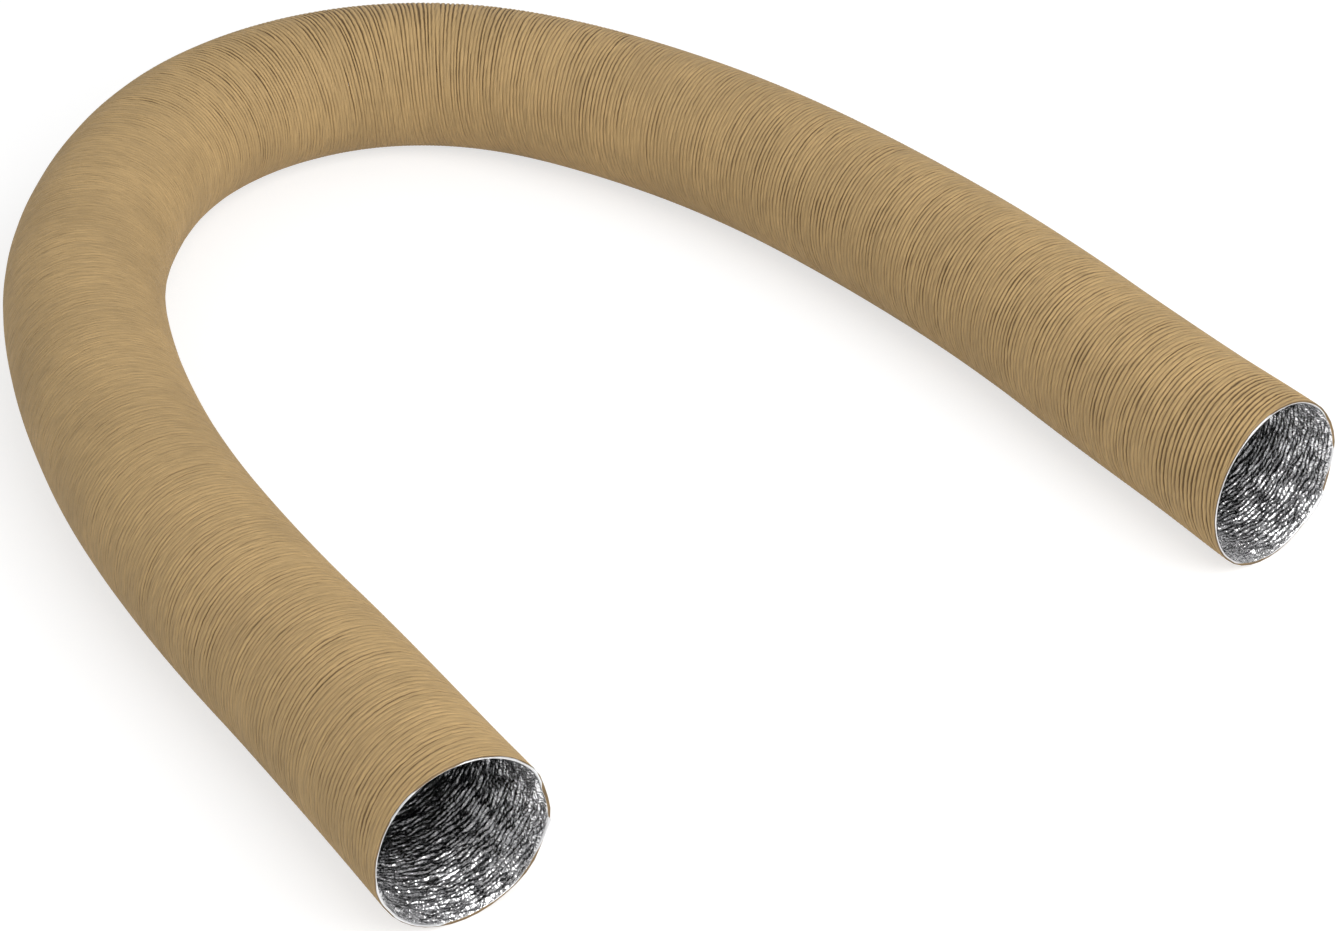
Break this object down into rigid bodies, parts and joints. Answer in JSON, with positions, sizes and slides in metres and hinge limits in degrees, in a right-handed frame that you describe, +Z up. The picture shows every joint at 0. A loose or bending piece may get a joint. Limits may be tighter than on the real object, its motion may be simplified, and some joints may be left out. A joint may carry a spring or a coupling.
{
  "type": "flexible air duct",
  "caption": "Crimped warm-air duct hose, foil liner inside kraft paper plies, lying in a horseshoe with both mouths open; bends at the middle.",
  "frame": {"origin": "centre of the whole duct's box in X and Y, on the plane that it lies on", "axes": "+Z up, +Y towards the closed end of the horseshoe, so both mouths face about -Y; +X from the near mouth's leg to the far mouth's leg"},
  "size_m": [0.5143, 0.656, 0.0778],
  "materials": {
    "foil": "bright crinkled foil",
    "kraft_inner": "plain kraft, seen only at the cut ends",
    "kraft_outer": "fine crimped kraft, matt with a slight sheen"
  },
  "bodies": {
    "near_half": {"foil_liner_near_half": "foil", "foil_liner_bend": "foil", "middle_kraft_ply_near_half": "kraft_inner", "middle_kraft_ply_bend": "kraft_inner", "outer_kraft_ply_near_end": "kraft_outer", "outer_kraft_ply_near_leg": "kraft_outer", "outer_kraft_ply_near_shoulder": "kraft_outer", "outer_kraft_ply_near_bend": "kraft_outer", "outer_kraft_ply_far_bend": "kraft_outer"},
    "far_half": {"foil_liner_far_half": "foil", "middle_kraft_ply_far_half": "kraft_inner", "outer_kraft_ply_far_shoulder": "kraft_outer", "outer_kraft_ply_far_leg": "kraft_outer", "outer_kraft_ply_far_end": "kraft_outer"}
  },
  "joints": [
    {"name": "duct_bend", "type": "hinge", "parent": "near_half", "child": "far_half", "pos_m": [0.02, 0.287, 0.0389], "axis": [0, 0, 1], "range_deg": [-25, 60], "deforming": ["foil_liner_bend", "middle_kraft_ply_bend", "outer_kraft_ply_near_bend", "outer_kraft_ply_far_bend"]}
  ]
}
